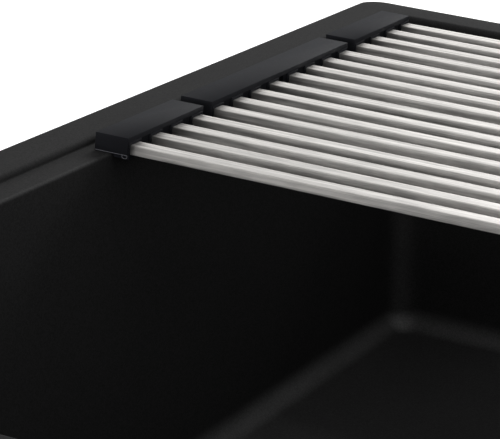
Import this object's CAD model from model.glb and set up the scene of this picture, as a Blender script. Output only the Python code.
"""Looks of a workstation kitchen sink: its moulded bowl, folding drying rack and strainer.

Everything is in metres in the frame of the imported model: X runs along the sink, Y from the front
to the back and Z up, with the underside of the rim at zero. The rack stands at +X.
"""

import math

import bmesh
import bpy
from mathutils import Matrix, Vector


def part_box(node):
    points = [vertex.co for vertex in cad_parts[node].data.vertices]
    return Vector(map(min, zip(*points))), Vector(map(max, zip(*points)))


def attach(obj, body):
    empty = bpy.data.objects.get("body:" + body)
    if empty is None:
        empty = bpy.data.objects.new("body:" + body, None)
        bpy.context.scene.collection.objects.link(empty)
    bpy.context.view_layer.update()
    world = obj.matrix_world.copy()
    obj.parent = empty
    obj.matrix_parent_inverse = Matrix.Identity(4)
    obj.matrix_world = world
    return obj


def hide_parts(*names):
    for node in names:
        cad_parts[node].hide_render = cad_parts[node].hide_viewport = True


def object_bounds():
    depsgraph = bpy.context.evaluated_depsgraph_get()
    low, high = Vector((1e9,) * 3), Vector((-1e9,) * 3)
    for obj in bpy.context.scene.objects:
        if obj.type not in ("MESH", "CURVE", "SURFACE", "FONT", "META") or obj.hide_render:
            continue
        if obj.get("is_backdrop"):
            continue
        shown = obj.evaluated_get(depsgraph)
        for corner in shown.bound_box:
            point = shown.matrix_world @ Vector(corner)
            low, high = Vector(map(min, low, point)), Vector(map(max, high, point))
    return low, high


bl_info = {
    "name": "Workstation Sink Maker",
    "version": (1, 0, 0),
    "blender": (4, 5, 0),
    "location": "3D View > Sidebar > Sink",
    "description": "Builds a moulded workstation sink with a folding rack and a basket strainer",
    "category": "Add Mesh",
}

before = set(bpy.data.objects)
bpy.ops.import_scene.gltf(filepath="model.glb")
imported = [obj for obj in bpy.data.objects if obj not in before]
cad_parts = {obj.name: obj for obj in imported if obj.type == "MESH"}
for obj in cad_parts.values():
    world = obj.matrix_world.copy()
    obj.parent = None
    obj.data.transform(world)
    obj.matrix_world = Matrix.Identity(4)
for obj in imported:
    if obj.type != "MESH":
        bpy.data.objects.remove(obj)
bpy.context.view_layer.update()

BARS = [f"rod_{i:02d}" for i in range(1, 17)]
GROUPS = ("inner", "middle", "outer")
SIDES = ("back", "front")
RACK_BODY = {"inner": "rack_inner", "middle": "rack_middle", "outer": "rack_outer"}
BARS_OF = {"inner": BARS[:4], "middle": BARS[4:12], "outer": BARS[12:]}

# Steps between the outlines that the bowl's skin runs through
EDGE_STEPS = 8  # the convex edges of the step, the ledge and the rim
FOOT_STEPS = 4  # the foot of the step
WALL_STEPS = 6  # down the wall, and outwards under the floor
FILLET_STEPS = 14  # from wall to floor
FLOOR_STEPS = 10  # from the fillet to the drain's recess
UNDER_STEPS = 5  # up the outside, and in the fillet under the rim

CORNER_STEPS = 16  # steps round a corner of an outline
BAR_STEPS = 4  # steps round a corner of a bar's section
LOOP_STEPS = 8  # steps round the loop of the piping
WORN_STEPS = 6  # how many steps of the ledge's edge are worn
BAR_END = 0.97  # size of a bar's end as a share of its section
LOOP_DROOP = 0.38  # half the droop of the piping's loop as a share of the pad's height

MAX_DRAFT = 0.3  # radians
INSERT_COUNT = 12
INSERT_HOLE_RADIUS = 0.00405
INSERT_HOLE_DEPTH = 0.0202  # half of it lies below the rim
HAIR = 1e-6  # straight part left in a disc's outline, and how near points are one point
OVERLAP = 0.00002  # how far a cap's lid reaches into its block, for a clean union
LIP_OVERLAP = 0.0002  # how far a pad's lip reaches into the pad
CLEARANCE = 0.001  # how far a cutter starts outside the face that it cuts
FLOOR_GAP = 0.0005  # between the tail's lower end and the stage's floor

# Upward parts of a view direction between which the reflected studio brightens
STUDIO_RISE = (0.08, 0.45)

# Name, place, target, width, height and power of each soft lamp
LAMPS = (
    ("Key", (2.7, 0.1, 1.6), (0.1, 0.0, 0.0), 1.1, 1.1, 48.0),
    ("Side", (-2.1, 2.2, 0.28), (0.0, 0.15, 0.01), 1.4, 0.3, 7.0),
    ("Low", (-2.4, -0.15, 0.26), (0.0, 0.1, 0.01), 0.35, 0.35, 7.0),
    ("Panel", (0.72, 0.42, 0.42), (0.0, 0.1, 0.02), 0.6, 0.5, 1.0),
)


# Sizes and colours that a user may change


def length(name, text, default):
    """A size in metres"""
    return bpy.props.FloatProperty(
        name=name, description=text, default=default, min=0, max=1, unit="LENGTH", precision=4
    )


def colour(name, text, default):
    """A base colour in linear light"""
    return bpy.props.FloatVectorProperty(
        name=name, description=text, default=default, size=3, min=0, max=1, subtype="COLOR"
    )


def number(name, text, default, low=0.0, high=1.0):
    """A share or a multiple"""
    return bpy.props.FloatProperty(
        name=name, description=text, default=default, min=low, max=high, subtype="FACTOR"
    )


class SinkBowlSettings(bpy.types.PropertyGroup):
    """Sizes and finish of the moulded bowl"""

    rim_side: length("Rim, front and back", "Flat width of the rim along the front and back", 0.021)
    rim_end: length("Rim, ends", "Flat width of the rim at the two ends", 0.0245)
    step_round: length("Step rounding", "Radius of the convex edge of the step", 0.0034)
    foot_round: length("Foot rounding", "Radius of the concave foot of the step", 0.001)
    ledge_drop: length("Ledge drop", "Height of the step from the rim to the ledge", 0.0048)
    ledge_side: length("Ledge, front and back", "Width of the ledge at front and back", 0.016)
    ledge_end: length("Ledge, ends", "Width of the ledge at the two ends", 0.005)
    ledge_round: length("Ledge edge", "Radius of the ledge's rounded inner edge", 0.0022)
    corner: length("Rim corner", "Outer corner radius of the rim", 0.015)
    edge_round: length("Rim edge", "Rounding of the rim's outer top edge", 0.0015)
    opening: length("Step corner", "Corner radius of the step's foot", 0.0095)
    bowl_radius: length("Bowl corner", "Corner radius of the bowl's walls", 0.021)
    wall: length("Wall", "Thickness of the walls and the floor", 0.010)
    draft_side: bpy.props.FloatProperty(
        name="Side draft", description="Draft angle of the front and back walls",
        default=math.radians(5), min=0, max=MAX_DRAFT, subtype="ANGLE",
    )
    draft_end: bpy.props.FloatProperty(
        name="End draft", description="Draft angle of the end walls",
        default=math.radians(2), min=0, max=MAX_DRAFT, subtype="ANGLE",
    )
    floor_round: length("Floor fillet", "Radius between the walls and the floor", 0.016)
    fall: length("Floor fall", "Fall of the floor from the walls to the drain", 0.010)
    depth: length("Depth", "From the top of the rim to the seat of the drain", 0.219)
    recess_radius: length("Drain recess", "Radius of the recess of the strainer's flange", 0.0585)
    recess_depth: length("Recess depth", "Depth of the strainer's recess", 0.003)
    recess_lip: length("Recess lip", "Width of the soft edge round the recess", 0.0012)
    drain_bevel: length("Drain bevel", "Bevel of the recess and of the hole's top", 0.0008)
    hole_radius: length("Drain hole", "Radius of the hole through the floor", 0.04445)
    pad_radius: length("Drain pad", "Radius of the flat pad round the drain underneath", 0.066)
    pad_edge: length("Drain pad edge", "Half the width of the drain pad's sloping edge", 0.001)
    under_round: length("Rim fillet", "Concave fillet under the rim", 0.004)
    under_bevel: length("Lower bevel", "Bevel of the lower edges of the rim and the hole", 0.0006)
    stone: colour("Composite", "Colour of the moulded composite", (0.030, 0.030, 0.0303))
    grain: number("Grain", "Contrast of the composite's mineral grain", 0.35)
    haze: number("Haze", "Brightness of the wiped haze in the fillets, as a multiple", 3.2, 1, 6)
    floor_haze: number("Floor haze", "Share of the haze on the floor", 0.24)
    corner_haze: number("Corner haze", "Share of the haze in the walls' corners", 0.45)
    bend_haze: number("Bend haze", "Share added where the fillet turns a corner", 1.4, 0, 3)
    worn: number("Worn edge", "Brightness of the ledge's worn edge, as a multiple", 1.5, 1, 3)
    sealed: number("Rim edge", "Brightness of the rim's outer edge, as a multiple", 0.2, 0, 1)


class SinkRackSettings(bpy.types.PropertyGroup):
    """Sizes and finish of the folding rack"""

    bar_round: length("Bar edge", "Radius of a bar's long edges", 0.0006)
    bar_wall: length("Bar wall", "Wall of a bar's tube", 0.0008)
    bar_bevel: length("Bar end", "Bevel of a bar's ends", 0.0002)
    slack: length("Socket slack", "Gap round a bar in its socket", 0.00005)
    bore_rest: length("Socket depth", "Free depth of a socket behind its bar", 0.0003)
    cap_round: length("Cap edge", "Rounding of a cap's edges", 0.0007)
    lid: length("Cap lid", "Thickness of the lid above the sockets", 0.0028)
    recess: length("Cap recess", "Depth of the recess between two sockets", 0.001)
    reach: length("Socket reach", "How far a socket stands out from the cap's face", 0.0005)
    socket_wall: length("Socket wall", "Wall of a socket beside its bar", 0.0015)
    notch: length("Notch width", "Width of the notch in the middle caps", 0.005)
    notch_depth: length("Notch depth", "Depth of the notch in the middle caps", 0.006)
    pad_thickness: length("Pad", "Thickness of the pad between a cap and the ledge", 0.0005)
    lip_width: length("Lip width", "Width of the pad's lip inside the ledge's edge", 0.0094)
    lip_inset: length("Lip inset", "Distance from the lip's ends to the cap's ends", 0.0015)
    pad_round: length("Pad edge", "Rounding of a pad's edges", 0.00012)
    bead: length("Piping", "Radius of the fine piping at a pad's ends", 0.0002)
    loop: length("Piping loop", "Width of the loop at the piping's inner end", 0.003)
    steel: colour("Bar steel", "Colour of the brushed bars", (0.71, 0.69, 0.666))
    plastic: colour("Cap plastic", "Colour of the caps", (0.0185, 0.0192, 0.0225))
    silicone: colour("Pad silicone", "Colour of the pads", (0.012, 0.013, 0.018))
    piping: colour("Pad piping", "Colour of the fine piping at a pad's ends", (0.17, 0.17, 0.19))
    pin: colour("Pin steel", "Colour of the hinge pins", (0.55, 0.55, 0.56))


class SinkFittingSettings(bpy.types.PropertyGroup):
    """Thread and finish of the strainer, the tail and the rim's inserts"""

    smooth: length("Smooth cup", "Height of the strainer above its thread", 0.012)
    pitch: length("Thread pitch", "Pitch of the strainer's thread", 0.0021)
    polished: colour("Polished steel", "Colour of the strainer and the tail", (0.70, 0.70, 0.71))
    satin: colour("Satin steel", "Colour of the basket", (0.60, 0.60, 0.61))
    brass: colour("Brass", "Colour of the threaded inserts", (0.68, 0.47, 0.18))
    zinc: colour("Die cast", "Colour of the locknut and the slip nut", (0.36, 0.37, 0.39))
    rubber: colour("Rubber", "Colour of the seals and the stopper", (0.02, 0.02, 0.021))
    fibre: colour("Fibre", "Colour of the friction washer", (0.36, 0.27, 0.16))
    washer: colour("Washer plastic", "Colour of the tail's washer", (0.62, 0.62, 0.58))
    knob: colour("Knob plastic", "Colour of the basket's knob", (0.025, 0.025, 0.027))


class SinkStageSettings(bpy.types.PropertyGroup):
    """Camera, floor and studio light"""

    lens: bpy.props.FloatProperty(
        name="Lens", description="Focal length in millimetres", default=194.722, min=20, max=400
    )
    eye: bpy.props.FloatVectorProperty(
        name="Eye", description="Place of the camera", size=3,
        default=(-1.23508, -0.45058, 0.41162), subtype="XYZ", unit="LENGTH",
    )
    bearing: bpy.props.FloatProperty(
        name="Bearing", description="Turn of the view from +X towards +Y",
        default=math.radians(24.8679), subtype="ANGLE",
    )
    pitch: bpy.props.FloatProperty(
        name="Pitch", description="Angle of the view below the horizon",
        default=math.radians(17.3619), subtype="ANGLE",
    )
    roll: bpy.props.FloatProperty(
        name="Roll", description="Turn of the view about its own line",
        default=math.radians(4.6835), subtype="ANGLE",
    )
    ambient: number("Ambient", "Strength of the even studio light", 0.46, 0, 4)
    horizon: number("Horizon", "Brightness of the reflected studio at the horizon", 0.25, 0, 4)
    zenith: number("Zenith", "Brightness of the reflected studio overhead", 0.65, 0, 4)
    floor: colour("Floor", "Colour of the floor", (0.80, 0.80, 0.80))
    glow: number("Floor glow", "Brightness that the camera sees added to the floor", 0.55, 0, 2)
    floor_size: bpy.props.FloatProperty(
        name="Floor size", description="Half the width of the floor", default=14, min=1, max=50
    )


# Materials, whose noise scales are per metre and whose bumps are in metres


class Finish:
    """A node material with a Principled shader, built up socket by socket"""

    def __init__(self, name, base, roughness, metallic=0.0, specular=0.5):
        self.made = bpy.data.materials.new(name)
        self.made.use_nodes = True
        self.tree = self.made.node_tree
        self.shader = self.tree.nodes["Principled BSDF"]
        self.shader.inputs["Base Color"].default_value = (*base, 1)
        self.shader.inputs["Roughness"].default_value = roughness
        self.shader.inputs["Metallic"].default_value = metallic
        self.shader.inputs["Specular IOR Level"].default_value = specular
        self.place = self.node("ShaderNodeTexCoord").outputs["Object"]
        self.base = base

    def node(self, kind, **settings):
        """A new node; settings that start with in_ go to its sockets"""
        node = self.tree.nodes.new(kind)
        for key, value in settings.items():
            if key.startswith("in_"):
                node.inputs[key[3:]].default_value = value
            else:
                setattr(node, key, value)
        return node

    def link(self, start, end):
        """Joins an output to an input"""
        self.tree.links.new(start, end)

    def attribute(self, name):
        """One of the marks that the bowl's mesh carries"""
        return self.node("ShaderNodeAttribute", attribute_name=name).outputs["Fac"]

    def stretched(self, scale):
        """The object's own coordinates, scaled on each axis"""
        mapping = self.node("ShaderNodeMapping")
        mapping.inputs["Scale"].default_value = scale
        self.link(self.place, mapping.inputs["Vector"])
        return mapping.outputs["Vector"]

    def noise(self, scale, detail, rough=0.55, stretch=None):
        """Cloudy noise, even or stretched"""
        noise = self.node(
            "ShaderNodeTexNoise", in_Scale=scale, in_Detail=detail, in_Roughness=rough
        )
        self.link(self.stretched(stretch) if stretch else self.place, noise.inputs["Vector"])
        return noise.outputs["Fac"]

    def range(self, value, low, high, to_low, to_high):
        """A value moved from one range to another and held inside it"""
        node = self.node("ShaderNodeMapRange")
        for key, limit in (
            ("From Min", low), ("From Max", high), ("To Min", to_low), ("To Max", to_high)
        ):
            node.inputs[key].default_value = limit
        self.link(value, node.inputs["Value"])
        return node.outputs["Result"]

    def math(self, operation, a, b=None):
        """A calculation with numbers or outputs"""
        node = self.node("ShaderNodeMath", operation=operation)
        for socket, value in zip(node.inputs, (a, b)):
            if isinstance(value, (int, float)):
                socket.default_value = value
            elif value is not None:
                self.link(value, socket)
        return node.outputs[0]

    def tint(self, factor, low, high):
        """Base colour that runs from low to high times the written colour"""
        mix = self.node("ShaderNodeMix", data_type="RGBA")
        mix.inputs["A"].default_value = (*(min(1, c * low) for c in self.base), 1)
        mix.inputs["B"].default_value = (*(min(1, c * high) for c in self.base), 1)
        self.link(factor, mix.inputs["Factor"])
        self.link(mix.outputs["Result"], self.shader.inputs["Base Color"])
        return mix

    def roughness(self, factor, low, high):
        """Roughness that runs from low to high"""
        self.link(self.range(factor, 0, 1, low, high), self.shader.inputs["Roughness"])

    def bump(self, height, distance, strength):
        """Fine relief from a height between 0 and 1"""
        bump = self.node("ShaderNodeBump", in_Strength=strength, in_Distance=distance)
        self.link(height, bump.inputs["Height"])
        self.link(bump.outputs["Normal"], self.shader.inputs["Normal"])


def composite_finish(settings):
    """Matte moulded quartz composite: fine mineral grain, a light pebble and hazy fillets"""
    f = Finish("Quartz composite", settings.stone, 0.70, specular=0.02)
    grains = f.node("ShaderNodeTexVoronoi", in_Scale=1500.0, in_Randomness=1.0)
    f.link(f.place, grains.inputs["Vector"])
    bright = f.node("ShaderNodeSeparateColor")
    f.link(grains.outputs["Color"], bright.inputs["Color"])
    cloud = f.noise(14, detail=3)
    fleck = f.range(bright.outputs["Red"], 0.0, 1.0, 0.5 - settings.grain, 0.5 + settings.grain)
    mixed = f.math("ADD", f.math("MULTIPLY", fleck, 0.75), f.math("MULTIPLY", cloud, 0.25))
    stone = f.tint(mixed, 0.62, 1.38)
    uneven = f.range(f.noise(9, detail=4), 0.3, 0.7, 0.7, 1.3)
    wiped = f.math("MULTIPLY", f.math("MULTIPLY", f.attribute("haze"), uneven), settings.haze - 1)
    rubbed = f.math("MULTIPLY", f.attribute("worn"), settings.worn - 1)
    gain = f.math("ADD", 1.0, f.math("ADD", wiped, rubbed))
    gain = f.math("MULTIPLY", gain, f.range(f.attribute("sealed"), 0, 1, 1, settings.sealed))
    scaled = f.node("ShaderNodeVectorMath", operation="SCALE")
    f.link(stone.outputs["Result"], scaled.inputs[0])
    f.link(gain, scaled.inputs["Scale"])
    f.link(scaled.outputs["Vector"], f.shader.inputs["Base Color"])
    f.roughness(f.noise(900, detail=2), 0.62, 0.78)
    f.bump(f.noise(1100, detail=3, rough=0.6), distance=0.00005, strength=0.5)
    return f.made


def brushed_finish(name, base, along, roughness, contrast, fine=1.0):
    """Metal brushed along one axis, with fine scratches, long bands and short dashes"""
    f = Finish(name, base, roughness, metallic=0.9)
    grain = f.node("ShaderNodeTangent", direction_type="RADIAL", axis="XYZ"[along])
    f.link(grain.outputs["Tangent"], f.shader.inputs["Tangent"])
    f.shader.inputs["Anisotropic"].default_value = 0.55

    def drawn(across, lengthwise, detail, rough):
        """Noise drawn out along the brushing, with both its scales per metre"""
        stretch = [across * fine] * 3
        stretch[along] = lengthwise
        return f.noise(1.0, detail, rough, stretch=stretch)

    scratches = drawn(2600.0, 9.0, detail=3, rough=0.6)
    bands = drawn(330.0, 5.0, detail=2, rough=0.5)
    dashes = drawn(480.0, 45.0, detail=2, rough=0.6)
    lines = f.math("ADD", f.math("MULTIPLY", bands, 0.4), f.math("MULTIPLY", dashes, 0.35))
    streaks = f.math("ADD", f.math("MULTIPLY", scratches, 0.25), lines)
    shade = f.range(streaks, 0.38, 0.62, 0.0, 1.0)
    f.tint(shade, 1 - 0.16 * contrast, 1 + 0.10 * contrast)
    f.roughness(shade, roughness - 0.06, roughness + 0.10)
    f.bump(scratches, distance=0.00002, strength=0.35)
    return f.made


def moulded_finish(name, base, roughness, specular=0.4, pebble=2200.0):
    """Matte moulded plastic or rubber with a fine erosion texture"""
    f = Finish(name, base, roughness, specular=specular)
    f.tint(f.noise(60, detail=4), 0.88, 1.12)
    f.roughness(f.noise(500, detail=3), roughness - 0.05, roughness + 0.07)
    f.bump(f.noise(pebble, detail=2), distance=0.00002, strength=0.6)
    return f.made


def polished_finish(name, base, roughness=0.12):
    """Polished or chromed metal with faint turning marks and water stains"""
    f = Finish(name, base, roughness, metallic=1.0)
    f.tint(f.noise(40, detail=4), 0.94, 1.05)
    f.roughness(f.noise(90, detail=5), roughness - 0.03, roughness + 0.08)
    f.bump(f.noise(1.0, detail=2, stretch=(60, 60, 3000)), distance=0.00001, strength=0.25)
    return f.made


def threaded_finish(name, base, top, bottom, pitch):
    """Polished metal with a screw thread between two heights"""
    f = Finish(name, base, 0.16, metallic=1.0)
    apart = f.node("ShaderNodeSeparateXYZ")
    f.link(f.place, apart.inputs["Vector"])
    height = apart.outputs["Z"]
    turn = f.math("ARCTAN2", apart.outputs["Y"], apart.outputs["X"])
    lead = f.math("MULTIPLY", turn, pitch / math.tau)
    wave = f.math("SINE", f.math("MULTIPLY", f.math("ADD", height, lead), math.tau / pitch))
    inside = f.math(
        "MULTIPLY", f.math("LESS_THAN", height, top), f.math("GREATER_THAN", height, bottom)
    )
    f.tint(f.noise(40, detail=4), 0.93, 1.05)
    f.roughness(f.noise(90, detail=5), 0.13, 0.24)
    f.bump(f.math("MULTIPLY", wave, inside), distance=0.0004, strength=1.0)
    return f.made


def cast_finish(name, base):
    """Dull die-cast zinc with a slightly grainy skin"""
    f = Finish(name, base, 0.45, metallic=0.9)
    f.tint(f.noise(120, detail=5), 0.85, 1.12)
    f.roughness(f.noise(300, detail=3), 0.38, 0.56)
    f.bump(f.noise(900, detail=3), distance=0.00006, strength=0.6)
    return f.made


def fibre_finish(name, base):
    """Pressed fibre board"""
    f = Finish(name, base, 0.85, specular=0.2)
    f.tint(f.noise(1.0, detail=5, stretch=(260, 260, 900)), 0.75, 1.2)
    f.roughness(f.noise(200, detail=3), 0.78, 0.92)
    f.bump(f.noise(700, detail=4), distance=0.00008, strength=0.7)
    return f.made


# Meshes


def smoothed(data, angle):
    """Shades a mesh smooth, except where faces meet at more than the angle in degrees"""
    for face in data.polygons:
        face.use_smooth = True
    data.set_sharp_from_angle(angle=math.radians(angle))


def mesh_data(name, mesh):
    """Mesh data from a bmesh, which is used up"""
    bmesh.ops.recalc_face_normals(mesh, faces=mesh.faces)
    data = bpy.data.meshes.new(name)
    mesh.to_mesh(data)
    mesh.free()
    return data


def finished(name, mesh, material, angle=30):
    """A smooth scene object from a bmesh"""
    data = mesh_data(name, mesh)
    smoothed(data, angle)
    data.materials.append(material)
    made = bpy.data.objects.new(name, data)
    bpy.context.scene.collection.objects.link(made)
    return made


def applied(made):
    """Bakes the object's modifiers into its mesh"""
    view = bpy.context.evaluated_depsgraph_get()
    view.update()
    data = bpy.data.meshes.new_from_object(made.evaluated_get(view))
    made.modifiers.clear()
    made.data = data


def softened(made, width, segments, angle):
    """Rounds the object's edges over where they are harder than the angle"""
    bevel = made.modifiers.new("Rounding", "BEVEL")
    bevel.width = width
    bevel.segments = segments
    bevel.limit_method = "ANGLE"
    bevel.angle_limit = math.radians(angle)
    bevel.harden_normals = True
    applied(made)


def ring(x, y, radius, z, steps=CORNER_STEPS):
    """Points of a rounded rectangle, from the +X+Y corner round"""
    points = []
    for corner in range(4):
        side_x = 1 if corner in (0, 3) else -1
        side_y = 1 if corner < 2 else -1
        for i in range(steps + 1):
            a = math.radians(90 * corner + 90 * i / steps)
            points.append((
                side_x * (x - radius) + radius * math.cos(a),
                side_y * (y - radius) + radius * math.sin(a),
                z,
            ))
    return points


def grown(line, out, z):
    """Points of a rounded rectangle, given as half sizes and radius, moved outwards"""
    return ring(*(size + out for size in line), z)


def disc(radius, z):
    """Points of a circle, as many as a ring has"""
    return ring(radius + HAIR, radius + HAIR, radius, z)


def rows_between(first, last, steps):
    """The outlines on the way from one outline to another, without these two"""
    return [
        [tuple(a + (b - a) * i / steps for a, b in zip(p, q)) for p, q in zip(first, last)]
        for i in range(1, steps)
    ]


def quarter_turn(steps):
    """Sine and cosine of the angles of a quarter turn"""
    angles = [math.radians(90 * i / steps) for i in range(steps + 1)]
    return [(math.sin(a), math.cos(a)) for a in angles]


def swell(step, steps):
    """Half a sine wave over a count of steps, and nothing before and after them"""
    return math.sin(math.pi * step / steps) if 0 <= step <= steps else 0.0


def lofted(rings, marks=None):
    """A skin through rings of equal count, whose last ring joins the first. The marks give
    a named number for every ring or for every point of every ring."""
    mesh = bmesh.new()
    layers = {name: mesh.verts.layers.float.new(name) for name in marks or ()}
    rows = [[mesh.verts.new(p) for p in points] for points in rings]
    for name, layer in layers.items():
        for row, mark in zip(rows, marks[name]):
            for k, vert in enumerate(row):
                vert[layer] = mark[k] if isinstance(mark, list) else mark
    for i, low in enumerate(rows):
        high = rows[(i + 1) % len(rows)]
        for k in range(len(low)):
            k2 = (k + 1) % len(low)
            mesh.faces.new((low[k], high[k], high[k2], low[k2]))
    return mesh


def add_prism(mesh, outline, low, high):
    """Adds a prism to a bmesh, from its outline in X and Y and its two heights"""
    lower, upper = ([mesh.verts.new((x, y, z)) for x, y in outline] for z in (low, high))
    for k in range(len(outline)):
        k2 = (k + 1) % len(outline)
        mesh.faces.new((lower[k], lower[k2], upper[k2], upper[k]))
    mesh.faces.new(lower)
    mesh.faces.new(upper)


def add_box(mesh, low, high):
    """Adds a box between two corners to a bmesh"""
    outline = [(low[0], low[1]), (high[0], low[1]), (high[0], high[1]), (low[0], high[1])]
    add_prism(mesh, outline, low[2], high[2])


def combined(made, other, operation):
    """Cuts a bmesh out of an object or unites it with the object"""
    tool = bpy.data.objects.new("Tool", mesh_data("Tool", other))
    bpy.context.scene.collection.objects.link(tool)
    change = made.modifiers.new("Combined", "BOOLEAN")
    change.operation = operation
    change.object = tool
    change.solver = "EXACT"
    applied(made)
    bpy.data.objects.remove(tool)


def facing(side, low, high):
    """The sign of a side of the sink, and a box's inner and outer distance from the middle"""
    return (1, low.y, high.y) if side == "back" else (-1, -high.y, -low.y)


def dress(node, material):
    """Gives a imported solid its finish"""
    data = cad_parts[node].data
    data.materials.clear()
    data.materials.append(material)
    smoothed(data, 30)


# Operators


class SINK_OT_bowl(bpy.types.Operator):
    """Moulds the bowl with its rim, stepped ledge, drafted walls and falling floor"""

    bl_idname = "sink.make_bowl"
    bl_label = "Bowl"

    def execute(self, context):
        s = context.scene.sink_bowl
        rings, first_wall = self.skin(s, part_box("sink_bowl")[1])
        marks = self.marks(s, len(rings), first_wall)
        bowl = finished("bowl_shell", lofted(rings, marks), composite_finish(s), angle=40)
        holes = bmesh.new()
        for place in insert_places():
            bmesh.ops.create_cone(
                holes, cap_ends=True, segments=48, radius1=INSERT_HOLE_RADIUS,
                radius2=INSERT_HOLE_RADIUS, depth=INSERT_HOLE_DEPTH,
                matrix=Matrix.Translation(place),
            )
        combined(bowl, holes, "DIFFERENCE")
        bowl.data.set_sharp_from_angle(angle=math.radians(40))
        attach(bowl, "sink")
        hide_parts("sink_bowl")
        return {"FINISHED"}

    def skin(self, s, corner):
        """The outlines that the bowl's skin runs through, from the rim's top inwards, down to
        the drain and back up underneath, and the number of the first one on the wall"""
        rim_top = corner.z
        ledge = rim_top - s.ledge_drop
        seat = rim_top - s.depth
        floor = seat + s.fall
        under = seat - s.wall
        drop = ledge - s.ledge_round - floor - s.floor_round
        rim_line = (corner.x, corner.y, s.corner)
        step_line = (
            corner.x - s.rim_end - s.step_round, corner.y - s.rim_side - s.step_round, s.opening
        )
        wall_line = (step_line[0] - s.ledge_end, step_line[1] - s.ledge_side, s.bowl_radius)
        floor_line = (
            wall_line[0] - drop * math.tan(s.draft_end) - s.floor_round,
            wall_line[1] - drop * math.tan(s.draft_side) - s.floor_round,
            s.bowl_radius - s.floor_round,
        )

        def edge(line, z, turn):
            """A convex edge that turns from a flat down to an outline"""
            return [
                grown(line, turn * (1 - sine), z - turn * (1 - cosine))
                for sine, cosine in quarter_turn(EDGE_STEPS)
            ]

        def fillet(out):
            """The turn from wall to floor, at a distance behind the inner surface"""
            reach = s.floor_round + out
            return [
                grown(floor_line, reach * cosine, floor + s.floor_round - reach * sine)
                for sine, cosine in quarter_turn(FILLET_STEPS)
            ]

        rings = edge(step_line, rim_top, s.step_round)
        rings += [
            grown(step_line, -s.foot_round * (1 - cosine), ledge + s.foot_round * (1 - sine))
            for sine, cosine in quarter_turn(FOOT_STEPS)
        ]
        rings += edge(wall_line, ledge, s.ledge_round)
        first_wall = len(rings)
        inner, outer = fillet(0), fillet(s.wall)[::-1]
        rings += rows_between(rings[-1], inner[0], WALL_STEPS) + inner
        lip = disc(s.recess_radius + s.recess_lip, seat + s.recess_depth)
        rings += rows_between(rings[-1], lip, FLOOR_STEPS)
        rings += [
            lip,
            disc(s.recess_radius + s.recess_lip / 3, seat + s.recess_depth - s.drain_bevel / 4),
            disc(s.recess_radius, seat + s.recess_depth - s.drain_bevel),
            disc(s.recess_radius, seat),
            disc(s.hole_radius + s.drain_bevel, seat),
            disc(s.hole_radius, seat - s.drain_bevel),
            disc(s.hole_radius, under + s.under_bevel),
            disc(s.hole_radius + s.under_bevel, under),
            disc(s.pad_radius - s.pad_edge, under),
            disc(s.pad_radius + s.pad_edge, under + s.pad_edge / 10),
        ]
        rings += rows_between(rings[-1], outer[0], WALL_STEPS) + outer
        below_rim = [
            grown(wall_line, s.wall + s.under_round * (1 - cosine), s.under_round * (sine - 1))
            for sine, cosine in quarter_turn(UNDER_STEPS)
        ]
        rings += rows_between(rings[-1], below_rim[0], UNDER_STEPS) + below_rim
        rings += [grown(rim_line, -s.under_bevel, 0), grown(rim_line, 0, s.under_bevel)]
        rings += [
            grown(rim_line, -s.edge_round * (1 - cosine), rim_top - s.edge_round * (1 - sine))
            for sine, cosine in quarter_turn(EDGE_STEPS)
        ]
        return rings, first_wall

    def marks(self, s, count, first_wall):
        """Where the composite is hazy, along its fillets and on its floor, worn, along the
        ledge's edge, and dark with sealant, round the rim's outer edge"""
        first_turn = first_wall + WALL_STEPS - 1  # the floor fillet's upper outline
        middle = first_turn + (FILLET_STEPS + 1) // 2
        lip = first_turn + FILLET_STEPS + FLOOR_STEPS  # round the drain's recess
        bends = [swell(i, CORNER_STEPS) ** 2 for i in range(CORNER_STEPS + 1)] * 4
        marks = {"haze": [], "worn": [], "sealed": []}
        for i in range(count):
            turn = swell(i - first_turn, FILLET_STEPS) ** 2
            ground = s.floor_haze if middle <= i <= lip else 0.0
            down = min(1.0, max(0, i - first_wall) / (WALL_STEPS - 1))
            corner = s.corner_haze * down if i < middle else 0.0
            marks["haze"].append([
                max(turn * (1 + s.bend_haze * bend), ground, corner * bend * bend)
                for bend in bends
            ])
            marks["worn"].append(swell(i - first_wall + EDGE_STEPS + 1, WORN_STEPS))
            marks["sealed"].append(swell(i - count + EDGE_STEPS + 1, EDGE_STEPS) ** 0.5)
        return marks


def insert_places():
    """Centres of the threaded inserts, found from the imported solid's separate rings"""
    mesh = bmesh.new()
    mesh.from_mesh(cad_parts["rim_inserts"].data)
    bmesh.ops.remove_doubles(mesh, verts=mesh.verts, dist=HAIR)
    places, seen = [], set()
    for start in mesh.verts:
        if start.index in seen:
            continue
        stack, island = [start], []
        seen.add(start.index)
        while stack:
            vert = stack.pop()
            island.append(vert.co)
            for other in (joint.other_vert(vert) for joint in vert.link_edges):
                if other.index not in seen:
                    seen.add(other.index)
                    stack.append(other)
        xs, ys = [p.x for p in island], [p.y for p in island]
        places.append(Vector(((min(xs) + max(xs)) / 2, (min(ys) + max(ys)) / 2, 0)))
    mesh.free()
    if len(places) != INSERT_COUNT:
        raise RuntimeError(f"expected {INSERT_COUNT} rim inserts, found {len(places)}")
    return places


class SINK_OT_inserts(bpy.types.Operator):
    """Gives the threaded inserts under the rim their brass"""

    bl_idname = "sink.make_inserts"
    bl_label = "Rim inserts"

    def execute(self, context):
        brass = context.scene.sink_fittings.brass
        turned = brushed_finish(
            "Turned brass", brass, along=2, roughness=0.3, contrast=0.6, fine=0.6
        )
        dress("rim_inserts", turned)
        return {"FINISHED"}


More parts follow.
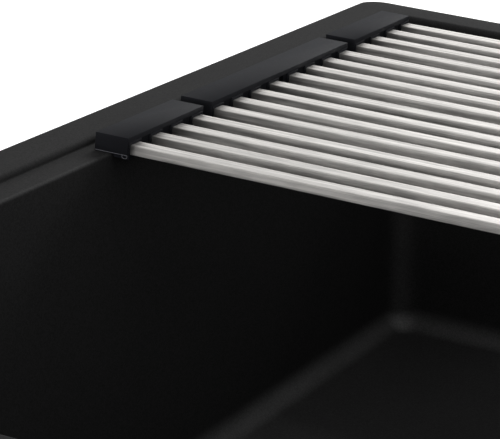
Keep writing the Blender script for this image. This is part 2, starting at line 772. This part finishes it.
class SINK_OT_bars(bpy.types.Operator):
    """Makes the rack's bars: flat tubes of brushed steel with soft edges"""

    bl_idname = "sink.make_bars"
    bl_label = "Rack bars"

    def execute(self, context):
        s = context.scene.sink_rack
        steel = brushed_finish(
            "Brushed bar steel", s.steel, along=1, roughness=0.52, contrast=2.2
        )
        for group in GROUPS:
            for name in BARS_OF[group]:
                bar = finished(name.replace("rod", "bar"), self.tube(s, name), steel, angle=40)
                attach(bar, RACK_BODY[group])
                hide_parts(name)
        return {"FINISHED"}

    def tube(self, s, name):
        """The skin of a bar, outside and inside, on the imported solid's box"""
        low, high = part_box(name)
        middle = (low + high) / 2

        def outline(y, inset, radius, size=1.0):
            """The bar's section at one place along it, at a distance inside its box"""
            half_x, half_z = (high.x - low.x) / 2 - inset, (high.z - low.z) / 2 - inset
            return [
                (middle.x + x * size, y, middle.z + z * size)
                for x, z, _ in ring(half_x, half_z, radius, 0, BAR_STEPS)
            ]

        return lofted([
            outline(low.y, 0, s.bar_round, BAR_END),
            outline(low.y + s.bar_bevel, 0, s.bar_round),
            outline(high.y - s.bar_bevel, 0, s.bar_round),
            outline(high.y, 0, s.bar_round, BAR_END),
            outline(high.y, s.bar_wall, s.bar_round / 2),
            outline(low.y, s.bar_wall, s.bar_round / 2),
        ])


class SINK_OT_caps(bpy.types.Operator):
    """Makes the six end caps with their lids, sockets and recesses"""

    bl_idname = "sink.make_caps"
    bl_label = "Rack caps"

    def execute(self, context):
        s = context.scene.sink_rack
        plastic = moulded_finish("Cap plastic", s.plastic, roughness=0.6, specular=0.03)
        for group in GROUPS:
            for side in SIDES:
                self.cap(s, group, side, plastic)
        return {"FINISHED"}

    def cap(self, s, group, side, plastic):
        """A block with a stepped face under a lid, with a socket for each bar"""
        node = f"cap_{group}_{side}"
        low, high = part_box(node)
        sign, socket_face, outer = facing(side, low, high)
        face = socket_face + s.reach
        lid_bottom = high.z - s.lid
        bars = [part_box(name) for name in BARS_OF[group]]
        steps = self.face_steps(s, bars, socket_face, group == "middle")
        block, lid, bores = bmesh.new(), bmesh.new(), bmesh.new()
        plan = [(low.x, outer), (low.x, face), *steps, (high.x, face), (high.x, outer)]
        add_prism(block, [(x, sign * y) for x, y in plan], low.z, lid_bottom)
        add_box(
            lid, (low.x, sign * face, lid_bottom - OVERLAP), (high.x, sign * outer, high.z)
        )
        for bar_low, bar_high in bars:
            bar_end = facing(side, bar_low, bar_high)[2]
            add_box(
                bores,
                (bar_low.x - s.slack, sign * (socket_face - CLEARANCE), bar_low.z - s.slack),
                (bar_high.x + s.slack, sign * (bar_end + s.bore_rest), bar_high.z + s.slack),
            )
        made = finished(node.replace("cap", "endcap"), block, plastic, angle=35)
        combined(made, lid, "UNION")
        combined(made, bores, "DIFFERENCE")
        softened(made, s.cap_round, segments=3, angle=50)
        made.data.set_sharp_from_angle(angle=math.radians(50))
        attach(made, RACK_BODY[group])
        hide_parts(node)

    def face_steps(self, s, bars, socket_face, notched):
        """Plan of a cap's face below the lid, which steps in and out for each socket"""
        face = socket_face + s.reach
        back = face + s.recess
        middles = [(low.x + high.x) / 2 for low, high in bars]
        half = (bars[0][1].x - bars[0][0].x) / 2 + s.socket_wall
        steps = []
        for i, x in enumerate(middles):
            start, end = x - half, x + half
            first, last = i == 0, i == len(middles) - 1
            steps += [(start, face if first else back), (start, socket_face)]
            steps += [(end, socket_face), (end, face if last else back)]
            if notched and i == len(middles) // 2 - 1:
                middle = (x + middles[i + 1]) / 2
                left, right = middle - s.notch / 2, middle + s.notch / 2
                deep = face + s.notch_depth
                steps += [(left, back), (left, deep), (right, deep), (right, back)]
        return steps


class SINK_OT_pads(bpy.types.Operator):
    """Makes the silicone pads under the caps, each with its lip and the piping at its ends"""

    bl_idname = "sink.make_pads"
    bl_label = "Rack pads"

    def execute(self, context):
        s = context.scene.sink_rack
        silicone = moulded_finish(
            "Pad silicone", s.silicone, roughness=0.55, specular=0.2, pebble=1600.0
        )
        piping = moulded_finish(
            "Pad piping", s.piping, roughness=0.5, specular=0.3, pebble=1600.0
        )
        for group in GROUPS:
            for side in SIDES:
                self.pad(s, group, side, silicone, piping)
        return {"FINISHED"}

    def pad(self, s, group, side, silicone, piping):
        """A thin pad with its lip, and the looped piping at both of its ends"""
        node = f"pad_{group}_{side}"
        low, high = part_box(node)
        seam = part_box(f"cap_{group}_{side}")[0].z
        sign, inner, outer = facing(side, low, high)
        face = inner + s.reach
        ledge = seam - s.pad_thickness
        mesh = bmesh.new()
        add_box(mesh, (low.x, sign * face, ledge), (high.x, sign * outer, high.z))
        add_box(
            mesh,
            (low.x + s.lip_inset, sign * inner, low.z),
            (high.x - s.lip_inset, sign * (inner + s.lip_width), ledge + LIP_OVERLAP),
        )
        pad = finished(node.replace("pad", "foot"), mesh, silicone, angle=35)
        softened(pad, s.pad_round, segments=2, angle=35)
        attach(pad, RACK_BODY[group])
        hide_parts(node)
        radius, droop = s.loop / 2, LOOP_DROOP * (high.z - low.z)
        path = [(outer - 2 * s.bead, seam), (face + s.loop, seam)]
        for i in range(LOOP_STEPS + 1):
            a = math.pi * i / LOOP_STEPS
            path.append((face + radius * (1 + math.cos(a)), seam - droop * (1 + math.sin(a))))
        path += [(face + s.bead / 2, seam), (face + s.loop, seam)]
        for end, x in (("low", low.x), ("high", high.x)):
            self.bead(
                f"piping_{group}_{side}_{end}", [(x, sign * y, z) for y, z in path], s.bead,
                piping, RACK_BODY[group],
            )

    def bead(self, name, points, radius, material, body):
        """A thin round bead along a path"""
        data = bpy.data.curves.new(name, "CURVE")
        data.dimensions = "3D"
        data.bevel_depth = radius
        data.bevel_resolution = 2
        spline = data.splines.new("POLY")
        spline.points.add(len(points) - 1)
        for point, place in zip(spline.points, points):
            point.co = (*place, 1)
        curve = bpy.data.objects.new(name, data)
        bpy.context.scene.collection.objects.link(curve)
        view = bpy.context.evaluated_depsgraph_get()
        mesh = bmesh.new()
        mesh.from_mesh(bpy.data.meshes.new_from_object(curve.evaluated_get(view)))
        bpy.data.objects.remove(curve)
        bead = finished(name, mesh, material, angle=60)
        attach(bead, body)


class SINK_OT_links(bpy.types.Operator):
    """Gives the hinge links and their pins their finish"""

    bl_idname = "sink.make_links"
    bl_label = "Rack hinges"

    def execute(self, context):
        s = context.scene.sink_rack
        plastic = moulded_finish("Link plastic", s.plastic, roughness=0.45, specular=0.5)
        pins = brushed_finish("Pin steel", s.pin, along=1, roughness=0.3, contrast=0.6)
        for group in ("inner", "outer"):
            for side in SIDES:
                dress(f"link_{group}_{side}", plastic)
            dress(f"link_pins_{group}", pins)
        return {"FINISHED"}


class SINK_OT_strainer(bpy.types.Operator):
    """Gives the strainer, its nuts, washers and basket their finishes"""

    bl_idname = "sink.make_strainer"
    bl_label = "Strainer and tail"

    def execute(self, context):
        s = context.scene.sink_fittings
        low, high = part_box("strainer_body")
        cup = threaded_finish("Strainer steel", s.polished, high.z - s.smooth, low.z, s.pitch)
        polished = polished_finish("Polished steel", s.polished)
        rubber = moulded_finish(
            "Seal rubber", s.rubber, roughness=0.6, specular=0.3, pebble=1500.0
        )
        satin = polished_finish("Satin steel", s.satin, roughness=0.26)
        washer = moulded_finish("Washer plastic", s.washer, roughness=0.45)
        knob = moulded_finish("Knob plastic", s.knob, roughness=0.35, specular=0.5)
        cast = cast_finish("Die cast zinc", s.zinc)
        dress("strainer_body", cup)
        dress("strainer_basket", satin)
        for node in ("tailpiece", "basket_post", "stopper_retainer"):
            dress(node, polished)
        for node in ("flange_seal", "drain_gasket", "basket_stopper"):
            dress(node, rubber)
        for node in ("locknut", "slip_nut"):
            dress(node, cast)
        dress("friction_washer", fibre_finish("Pressed fibre", s.fibre))
        dress("tailpiece_washer", washer)
        dress("basket_knob", knob)
        return {"FINISHED"}


class SINK_OT_stage(bpy.types.Operator):
    """Sets the pale floor, the soft studio light and the camera"""

    bl_idname = "sink.make_stage"
    bl_label = "Stage"

    def execute(self, context):
        s = context.scene.sink_stage
        scene = context.scene
        scene.view_settings.view_transform = "Standard"
        self.world(scene, s)
        self.floor(s)
        self.lamps(scene)
        self.camera(scene, s)
        return {"FINISHED"}

    def world(self, scene, s):
        """White to the camera, even light on the sink and a graded studio in reflections"""
        world = bpy.data.worlds.new("Studio")
        scene.world = world
        world.use_nodes = True
        nodes, links = world.node_tree.nodes, world.node_tree.links
        nodes.clear()
        path = nodes.new("ShaderNodeLightPath")
        clear = nodes.new("ShaderNodeMath")
        clear.operation = "MAXIMUM"
        links.new(path.outputs["Is Camera Ray"], clear.inputs[0])
        links.new(path.outputs["Is Transmission Ray"], clear.inputs[1])
        way = nodes.new("ShaderNodeTexCoord")
        apart = nodes.new("ShaderNodeSeparateXYZ")
        links.new(way.outputs["Generated"], apart.inputs[0])
        rise = nodes.new("ShaderNodeMapRange")
        rise.interpolation_type = "SMOOTHSTEP"
        for key, value in zip(
            ("From Min", "From Max", "To Min", "To Max"), (*STUDIO_RISE, s.horizon, s.zenith)
        ):
            rise.inputs[key].default_value = value
        links.new(apart.outputs["Z"], rise.inputs["Value"])

        def sky(strength):
            """White light of a number or an output"""
            made = nodes.new("ShaderNodeBackground")
            made.inputs["Color"].default_value = (1, 1, 1, 1)
            if isinstance(strength, float):
                made.inputs["Strength"].default_value = strength
            else:
                links.new(strength, made.inputs["Strength"])
            return made.outputs[0]

        def choose(which, no, yes):
            """The second light where the ray is of the kind asked for, or else the first"""
            mix = nodes.new("ShaderNodeMixShader")
            links.new(which, mix.inputs[0])
            links.new(no, mix.inputs[1])
            links.new(yes, mix.inputs[2])
            return mix.outputs[0]

        lit = choose(path.outputs["Is Glossy Ray"], sky(s.ambient), sky(rise.outputs[0]))
        out = nodes.new("ShaderNodeOutputWorld")
        links.new(choose(clear.outputs[0], lit, sky(1.0)), out.inputs["Surface"])

    def floor(self, s):
        """A pale floor under the tail that looks nearly white and keeps the shadow"""
        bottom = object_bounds()[0].z - FLOOR_GAP
        mesh = bmesh.new()
        bmesh.ops.create_grid(
            mesh, x_segments=8, y_segments=8, size=s.floor_size,
            matrix=Matrix.Translation((0, 0, bottom)),
        )
        f = Finish("Pale floor", s.floor, 0.8, specular=0.1)
        f.tint(f.noise(2.0, detail=3), 0.99, 1.01)
        path = f.node("ShaderNodeLightPath")
        glow = f.node("ShaderNodeEmission", in_Color=(1, 1, 1, 1))
        seen = f.math("MULTIPLY", path.outputs["Is Camera Ray"], s.glow)
        f.link(seen, glow.inputs["Strength"])
        both = f.node("ShaderNodeAddShader")
        f.link(f.shader.outputs[0], both.inputs[0])
        f.link(glow.outputs[0], both.inputs[1])
        out = [n for n in f.tree.nodes if n.type == "OUTPUT_MATERIAL"][0]
        f.link(both.outputs[0], out.inputs["Surface"])
        floor = finished("Floor", mesh, f.made)
        floor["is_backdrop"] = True

    def lamps(self, scene):
        """Soft lamps, each turned to its target"""
        for name, place, target, wide, tall, power in LAMPS:
            light = bpy.data.lights.new(name, "AREA")
            light.shape = "RECTANGLE"
            light.size, light.size_y = wide, tall
            light.energy = power
            lamp = bpy.data.objects.new(name, light)
            lamp.location = place
            aim = Vector(target) - Vector(place)
            lamp.rotation_euler = aim.to_track_quat("-Z", "Y").to_euler()
            scene.collection.objects.link(lamp)

    def camera(self, scene, s):
        """The photo's view"""
        ahead = Vector((
            math.cos(s.pitch) * math.cos(s.bearing), math.cos(s.pitch) * math.sin(s.bearing),
            -math.sin(s.pitch),
        ))
        level = ahead.cross(Vector((0, 0, 1))).normalized()
        upright = level.cross(ahead)
        right = level * math.cos(s.roll) + upright * math.sin(s.roll)
        up = upright * math.cos(s.roll) - level * math.sin(s.roll)
        data = bpy.data.cameras.new("Camera")
        data.lens = s.lens
        data.sensor_width = 36.0
        data.sensor_fit = "HORIZONTAL"
        data.clip_start, data.clip_end = 0.05, 100.0
        camera = bpy.data.objects.new("Camera", data)
        turn = Matrix((right, up, -ahead)).transposed().to_4x4()
        camera.matrix_world = Matrix.Translation(Vector(s.eye)) @ turn
        scene.collection.objects.link(camera)
        scene.camera = camera


class SINK_PT_panel(bpy.types.Panel):
    """Lists the sink's settings and its pieces"""

    bl_idname = "SINK_PT_panel"
    bl_label = "Workstation sink"
    bl_space_type = "VIEW_3D"
    bl_region_type = "UI"
    bl_category = "Sink"

    def draw(self, context):
        scene, layout = context.scene, self.layout
        for title, group in (
            ("Bowl", scene.sink_bowl), ("Rack", scene.sink_rack),
            ("Fittings", scene.sink_fittings), ("Stage", scene.sink_stage),
        ):
            box = layout.box()
            box.label(text=title)
            for key in group.__annotations__:
                box.prop(group, key)
        for maker in OPERATORS:
            layout.operator(maker.bl_idname)


SETTINGS = (
    ("sink_bowl", SinkBowlSettings), ("sink_rack", SinkRackSettings),
    ("sink_fittings", SinkFittingSettings), ("sink_stage", SinkStageSettings),
)
OPERATORS = (
    SINK_OT_bowl, SINK_OT_inserts, SINK_OT_bars, SINK_OT_caps, SINK_OT_pads, SINK_OT_links,
    SINK_OT_strainer, SINK_OT_stage,
)


def register():
    for name, settings in SETTINGS:
        bpy.utils.register_class(settings)
        setattr(bpy.types.Scene, name, bpy.props.PointerProperty(type=settings))
    for maker in OPERATORS:
        bpy.utils.register_class(maker)
    bpy.utils.register_class(SINK_PT_panel)


def unregister():
    bpy.utils.unregister_class(SINK_PT_panel)
    for maker in reversed(OPERATORS):
        bpy.utils.unregister_class(maker)
    for name, settings in reversed(SETTINGS):
        delattr(bpy.types.Scene, name)
        bpy.utils.unregister_class(settings)


def main():
    register()
    bpy.ops.sink.make_bowl()
    bpy.ops.sink.make_inserts()
    bpy.ops.sink.make_bars()
    bpy.ops.sink.make_caps()
    bpy.ops.sink.make_pads()
    bpy.ops.sink.make_links()
    bpy.ops.sink.make_strainer()
    bpy.ops.sink.make_stage()


if __name__ == "__main__":
    main()
